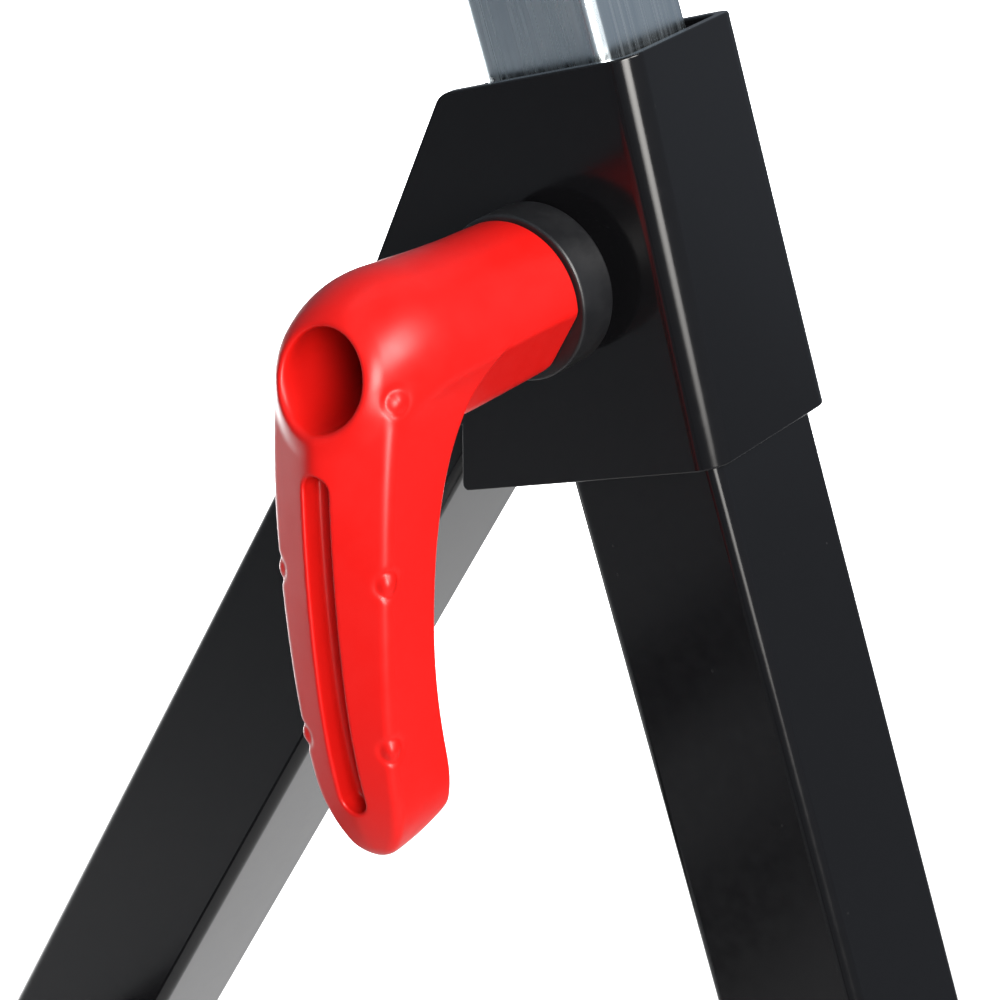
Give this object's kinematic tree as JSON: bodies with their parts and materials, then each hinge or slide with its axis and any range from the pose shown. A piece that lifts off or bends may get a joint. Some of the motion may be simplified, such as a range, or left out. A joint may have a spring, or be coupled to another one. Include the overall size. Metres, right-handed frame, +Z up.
{
  "type": "folding sawhorse",
  "caption": "Height-adjustable folding trestle: square steel masts with clamped sliding posts under a level beam, hinged rear legs in folded sheet brackets.",
  "frame": {"origin": "on the floor, in the middle of the standing footprint", "axes": "+X along the beam, +Y towards the feet of the masts, +Z up"},
  "size_m": [1.007, 0.6648, 0.9001],
  "materials": {
    "black_paint": "gloss black powder coat with a faint orange peel",
    "zinc": "bright blue-white zinc plating with fine draw lines",
    "red_plastic": "smooth moulded red nylon, semi-gloss",
    "black_plastic": "fine satin moulded black",
    "foot_rubber": "matt moulded rubber",
    "nylon": "satin black nylon",
    "die_cast": "as-cast zinc alloy",
    "dark_steel": "black oxide"
  },
  "bodies": {
    "mast_frame": {"mast_leg_left": "black_paint", "mast_leg_right": "black_paint", "head_bracket_left": "black_paint", "head_bracket_right": "black_paint", "weld_nut_left": "black_paint", "weld_nut_right": "black_paint", "mast_guide_left": "nylon", "mast_guide_right": "nylon", "mast_foot_left": "foot_rubber", "mast_foot_right": "foot_rubber", "pivot_bolt_left": "zinc", "pivot_bolt_right": "zinc", "pivot_washer_left": "zinc", "pivot_washer_right": "zinc", "pivot_lock_nut_left": "zinc", "pivot_lock_nut_right": "zinc", "mast_cross_tube_upper": "black_paint", "mast_cross_tube_lower": "black_paint"},
    "rear_frame": {"rear_leg_left": "black_paint", "rear_leg_right": "black_paint", "pivot_sleeve_left": "zinc", "pivot_sleeve_right": "zinc", "rear_foot_left": "foot_rubber", "rear_foot_right": "foot_rubber", "rear_cross_tube_upper": "black_paint", "rear_cross_tube_lower": "black_paint"},
    "beam_frame": {"beam": "zinc", "beam_end_cap_left": "black_plastic", "beam_end_cap_right": "black_plastic", "post_left": "zinc", "post_right": "zinc", "post_glide_left": "nylon", "post_glide_right": "nylon"},
    "collar_left": {"clamp_collar_left": "black_plastic"},
    "screw_left": {"clamp_stud_left": "dark_steel", "clamp_insert_left": "die_cast", "index_spring_left": "dark_steel", "retaining_screw_left": "dark_steel"},
    "lever_left": {"lever_handle_left": "red_plastic"},
    "collar_right": {"clamp_collar_right": "black_plastic"},
    "screw_right": {"clamp_stud_right": "dark_steel", "clamp_insert_right": "die_cast", "index_spring_right": "dark_steel", "retaining_screw_right": "dark_steel"},
    "lever_right": {"lever_handle_right": "red_plastic"}
  },
  "joints": [
    {"name": "rear_fold", "type": "hinge", "parent": "mast_frame", "child": "rear_frame", "pos_m": [0, 0.05019, 0.66108], "axis": [1, 0, 0], "range_deg": [0, 47.76]},
    {"name": "beam_lift", "type": "slide", "parent": "mast_frame", "child": "beam_frame", "axis": [0, -0.3264, 0.9452], "range_m": [-0.106, 0.423]},
    {"name": "clamp_advance_left", "type": "slide", "parent": "mast_frame", "child": "collar_left", "axis": [1, 0, 0], "range_m": [0, 0.0016]},
    {"name": "clamp_turn_left", "type": "hinge", "parent": "collar_left", "child": "screw_left", "pos_m": [-0.35, 0.07519, 0.67813], "axis": [1, 0, 0], "range_deg": [0, 360]},
    {"name": "lever_pull_left", "type": "slide", "parent": "screw_left", "child": "lever_left", "axis": [1, 0, 0], "range_m": [0, 0.0035], "stiffness_N_per_m": 1500, "springref_m": -0.002, "deforming": ["index_spring_left"]},
    {"name": "clamp_advance_right", "type": "slide", "parent": "mast_frame", "child": "collar_right", "axis": [-1, 0, 0], "range_m": [0, 0.0016]},
    {"name": "clamp_turn_right", "type": "hinge", "parent": "collar_right", "child": "screw_right", "pos_m": [0.35, 0.07519, 0.67813], "axis": [-1, 0, 0], "range_deg": [0, 360]},
    {"name": "lever_pull_right", "type": "slide", "parent": "screw_right", "child": "lever_right", "axis": [-1, 0, 0], "range_m": [0, 0.0035], "stiffness_N_per_m": 1500, "springref_m": -0.002, "deforming": ["index_spring_right"]}
  ],
  "couplings": [
    {"joint": "clamp_advance_left", "follows": "clamp_turn_left", "m_per_rad": 0.00023873},
    {"joint": "clamp_advance_right", "follows": "clamp_turn_right", "m_per_rad": 0.00023873}
  ]
}
